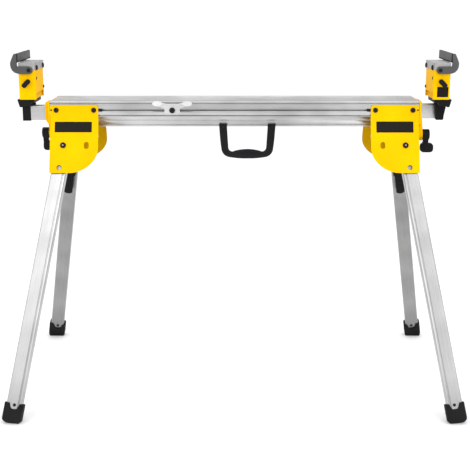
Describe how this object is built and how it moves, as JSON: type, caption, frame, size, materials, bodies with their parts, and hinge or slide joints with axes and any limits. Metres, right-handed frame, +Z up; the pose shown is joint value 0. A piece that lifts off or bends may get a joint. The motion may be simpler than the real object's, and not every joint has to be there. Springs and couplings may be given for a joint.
{
  "type": "folding mitre saw stand",
  "caption": "Folding stand for a mitre saw: aluminium beam on folding locking legs, with sliding end arms that carry height-adjustable work supports with flip stops.",
  "frame": {"origin": "on the floor, under the middle of the beam", "axes": "+X along the beam to the right as seen from the front, +Y to the rear, +Z up"},
  "size_m": [1.239, 0.7282, 0.9535],
  "materials": {
    "yellow_paint": "powder coat",
    "aluminium": "satin anodised",
    "leg_aluminium": "satin anodised",
    "black_plastic": "fine texture",
    "rubber": "matt",
    "steel": "zinc plated",
    "dark_steel": "dark coat"
  },
  "bodies": {
    "stand": {"beam": "aluminium", "carry_handle": "black_plastic", "slot_cleat": "aluminium", "cleat_screw": "dark_steel", "end_cap_left": "yellow_paint", "bracket_plate_front_left": "yellow_paint", "plate_bolt_front_left_inner": "dark_steel", "plate_bolt_front_left_outer": "dark_steel", "pivot_bolt_front_left": "dark_steel", "bracket_plate_rear_left": "yellow_paint", "plate_bolt_rear_left_inner": "dark_steel", "plate_bolt_rear_left_outer": "dark_steel", "pivot_bolt_rear_left": "dark_steel", "end_cap_right": "yellow_paint", "bracket_plate_front_right": "yellow_paint", "plate_bolt_front_right_inner": "dark_steel", "plate_bolt_front_right_outer": "dark_steel", "pivot_bolt_front_right": "dark_steel", "bracket_plate_rear_right": "yellow_paint", "plate_bolt_rear_right_inner": "dark_steel", "plate_bolt_rear_right_outer": "dark_steel", "pivot_bolt_rear_right": "dark_steel"},
    "leg_front_left": {"leg_front_left": "leg_aluminium", "foot_front_left": "rubber", "lever_bracket_front_left": "dark_steel"},
    "release_lever_front_left": {"release_lever_front_left": "black_plastic"},
    "lock_pin_front_left": {"lock_pin_front_left": "steel"},
    "leg_rear_left": {"leg_rear_left": "leg_aluminium", "foot_rear_left": "rubber", "lever_bracket_rear_left": "dark_steel"},
    "release_lever_rear_left": {"release_lever_rear_left": "black_plastic"},
    "lock_pin_rear_left": {"lock_pin_rear_left": "steel"},
    "arm_left": {"extension_arm_left": "aluminium", "support_base_left": "black_plastic", "support_column_left": "yellow_paint"},
    "head_left": {"support_head_left": "yellow_paint", "support_table_left": "aluminium"},
    "flip_stop_left": {"flip_stop_left": "dark_steel"},
    "head_lever_left": {"head_lever_left": "black_plastic"},
    "clamp_knob_left": {"clamp_knob_left": "black_plastic"},
    "leg_front_right": {"leg_front_right": "leg_aluminium", "foot_front_right": "rubber", "lever_bracket_front_right": "dark_steel"},
    "release_lever_front_right": {"release_lever_front_right": "black_plastic"},
    "lock_pin_front_right": {"lock_pin_front_right": "steel"},
    "leg_rear_right": {"leg_rear_right": "leg_aluminium", "foot_rear_right": "rubber", "lever_bracket_rear_right": "dark_steel"},
    "release_lever_rear_right": {"release_lever_rear_right": "black_plastic"},
    "lock_pin_rear_right": {"lock_pin_rear_right": "steel"},
    "arm_right": {"extension_arm_right": "aluminium", "support_base_right": "black_plastic", "support_column_right": "yellow_paint"},
    "head_right": {"support_head_right": "yellow_paint", "support_table_right": "aluminium"},
    "flip_stop_right": {"flip_stop_right": "dark_steel"},
    "head_lever_right": {"head_lever_right": "black_plastic"},
    "clamp_knob_right": {"clamp_knob_right": "black_plastic"}
  },
  "joints": [
    {"name": "leg_fold_front_left", "type": "hinge", "parent": "stand", "child": "leg_front_left", "pos_m": [-0.47, -0.08313, 0.70137], "axis": [-0.0306, -0.9313, 0.363], "range_deg": [0, 99.5]},
    {"name": "lever_press_front_left", "type": "hinge", "parent": "leg_front_left", "child": "release_lever_front_left", "pos_m": [-0.48721, -0.10268, 0.59467], "axis": [-0.9858, 0.088, 0.1429], "range_deg": [0, 8], "stiffness_Nm_per_rad": 1.5},
    {"name": "pin_draw_front_left", "type": "slide", "parent": "leg_front_left", "child": "lock_pin_front_left", "axis": [0.0306, 0.9313, -0.363], "range_m": [0, 0.0086]},
    {"name": "leg_fold_rear_left", "type": "hinge", "parent": "stand", "child": "leg_rear_left", "pos_m": [-0.47, 0.08313, 0.70137], "axis": [-0.0306, -0.935, -0.3534], "range_deg": [0, 99.5]},
    {"name": "lever_press_rear_left", "type": "hinge", "parent": "leg_rear_left", "child": "release_lever_rear_left", "pos_m": [-0.48844, 0.10261, 0.59486], "axis": [0.9858, 0.0302, -0.1651], "range_deg": [0, 8], "stiffness_Nm_per_rad": 1.5},
    {"name": "pin_draw_rear_left", "type": "slide", "parent": "leg_rear_left", "child": "lock_pin_rear_left", "axis": [-0.0306, -0.935, -0.3534], "range_m": [0, 0.0086]},
    {"name": "arm_slide_left", "type": "slide", "parent": "stand", "child": "arm_left", "axis": [-1, 0, 0], "range_m": [0, 0.7]},
    {"name": "knob_turn_left", "type": "hinge", "parent": "stand", "child": "clamp_knob_left", "pos_m": [-0.53, 0.02, 0.727], "axis": [1, 0, 0], "range_deg": [-90, 90]},
    {"name": "head_rise_left", "type": "slide", "parent": "arm_left", "child": "head_left", "axis": [0, 0, 1], "range_m": [0, 0.045]},
    {"name": "stop_flip_left", "type": "hinge", "parent": "head_left", "child": "flip_stop_left", "pos_m": [-0.562, 0, 0.909], "axis": [0, -1, 0], "range_deg": [0, 35]},
    {"name": "head_lever_turn_left", "type": "hinge", "parent": "head_left", "child": "head_lever_left", "pos_m": [-0.57, -0.07, 0.8735], "axis": [0, 1, 0], "range_deg": [0, 90]},
    {"name": "leg_fold_front_right", "type": "hinge", "parent": "stand", "child": "leg_front_right", "pos_m": [0.47, -0.08313, 0.70137], "axis": [0.0306, 0.935, -0.3534], "range_deg": [0, 99.5]},
    {"name": "lever_press_front_right", "type": "hinge", "parent": "leg_front_right", "child": "release_lever_front_right", "pos_m": [0.48844, -0.10261, 0.59486], "axis": [-0.9858, -0.0302, -0.1651], "range_deg": [0, 8], "stiffness_Nm_per_rad": 1.5},
    {"name": "pin_draw_front_right", "type": "slide", "parent": "leg_front_right", "child": "lock_pin_front_right", "axis": [0.0306, 0.935, -0.3534], "range_m": [0, 0.0086]},
    {"name": "leg_fold_rear_right", "type": "hinge", "parent": "stand", "child": "leg_rear_right", "pos_m": [0.47, 0.08313, 0.70137], "axis": [0.0306, 0.9313, 0.363], "range_deg": [0, 99.5]},
    {"name": "lever_press_rear_right", "type": "hinge", "parent": "leg_rear_right", "child": "release_lever_rear_right", "pos_m": [0.48721, 0.10268, 0.59467], "axis": [0.9858, -0.088, 0.1429], "range_deg": [0, 8], "stiffness_Nm_per_rad": 1.5},
    {"name": "pin_draw_rear_right", "type": "slide", "parent": "leg_rear_right", "child": "lock_pin_rear_right", "axis": [-0.0306, -0.9313, -0.363], "range_m": [0, 0.0086]},
    {"name": "arm_slide_right", "type": "slide", "parent": "stand", "child": "arm_right", "axis": [1, 0, 0], "range_m": [0, 0.7]},
    {"name": "knob_turn_right", "type": "hinge", "parent": "stand", "child": "clamp_knob_right", "pos_m": [0.53, -0.02, 0.727], "axis": [1, 0, 0], "range_deg": [-90, 90]},
    {"name": "head_rise_right", "type": "slide", "parent": "arm_right", "child": "head_right", "axis": [0, 0, 1], "range_m": [0, 0.045]},
    {"name": "stop_flip_right", "type": "hinge", "parent": "head_right", "child": "flip_stop_right", "pos_m": [0.562, 0, 0.909], "axis": [0, 1, 0], "range_deg": [0, 35]},
    {"name": "head_lever_turn_right", "type": "hinge", "parent": "head_right", "child": "head_lever_right", "pos_m": [0.57, -0.07, 0.8735], "axis": [0, 1, 0], "range_deg": [0, 90]}
  ],
  "couplings": [
    {"joint": "pin_draw_front_left", "follows": "lever_press_front_left", "m_per_rad": 0.06},
    {"joint": "pin_draw_rear_left", "follows": "lever_press_rear_left", "m_per_rad": 0.06},
    {"joint": "pin_draw_front_right", "follows": "lever_press_front_right", "m_per_rad": 0.06},
    {"joint": "pin_draw_rear_right", "follows": "lever_press_rear_right", "m_per_rad": 0.06}
  ]
}
